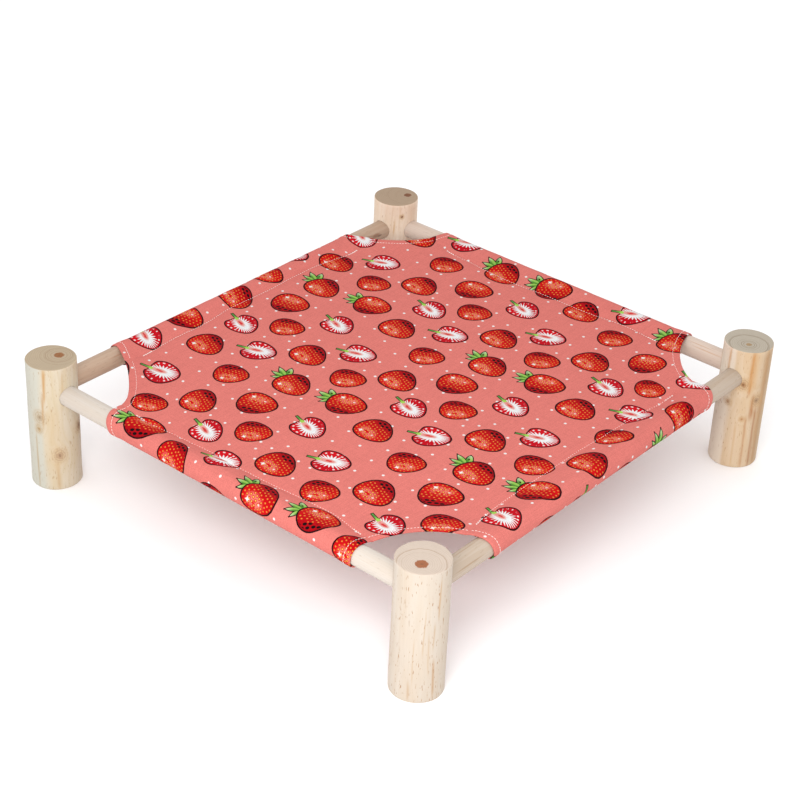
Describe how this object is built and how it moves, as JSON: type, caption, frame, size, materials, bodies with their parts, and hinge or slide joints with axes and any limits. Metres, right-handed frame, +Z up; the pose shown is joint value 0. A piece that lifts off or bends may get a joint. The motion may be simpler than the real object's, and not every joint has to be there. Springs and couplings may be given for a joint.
{
  "type": "elevated pet bed",
  "caption": "Low elevated pet bed: round pine legs joined by dowel rails, with a printed canvas cover stretched between the rails on sewn rod sleeves.",
  "frame": {"origin": "on the floor, at the centre of the rectangle of the legs' axes", "axes": "+Z up, +X from the left legs to the right legs, +Y from the front legs to the back legs"},
  "size_m": [0.5, 0.541, 0.132],
  "materials": {
    "leg_pine": "bare turned pine, sanded, matt, with knots and visible annual rings on the sawn ends",
    "rail_pine": "bare sanded dowel, pale, with faint straight grain",
    "cover_canvas": "plain-weave cotton canvas, coral pink with a printed fruit and dot pattern, matt",
    "white_thread": "white lockstitch sewing thread"
  },
  "bodies": {
    "root": {"leg_front_left": "leg_pine", "leg_front_right": "leg_pine", "leg_back_right": "leg_pine", "leg_back_left": "leg_pine", "rail_front": "rail_pine", "rail_right": "rail_pine", "rail_back": "rail_pine", "rail_left": "rail_pine", "cover_panel": "cover_canvas", "cover_sleeve_front": "cover_canvas", "cover_sleeve_right": "cover_canvas", "cover_sleeve_back": "cover_canvas", "cover_sleeve_left": "cover_canvas", "seam_thread_front": "white_thread", "seam_thread_right": "white_thread", "seam_thread_back": "white_thread", "seam_thread_left": "white_thread", "hem_thread_front_left": "white_thread", "hem_thread_front_right": "white_thread", "hem_thread_back_right": "white_thread", "hem_thread_back_left": "white_thread"}
  },
  "joints": []
}
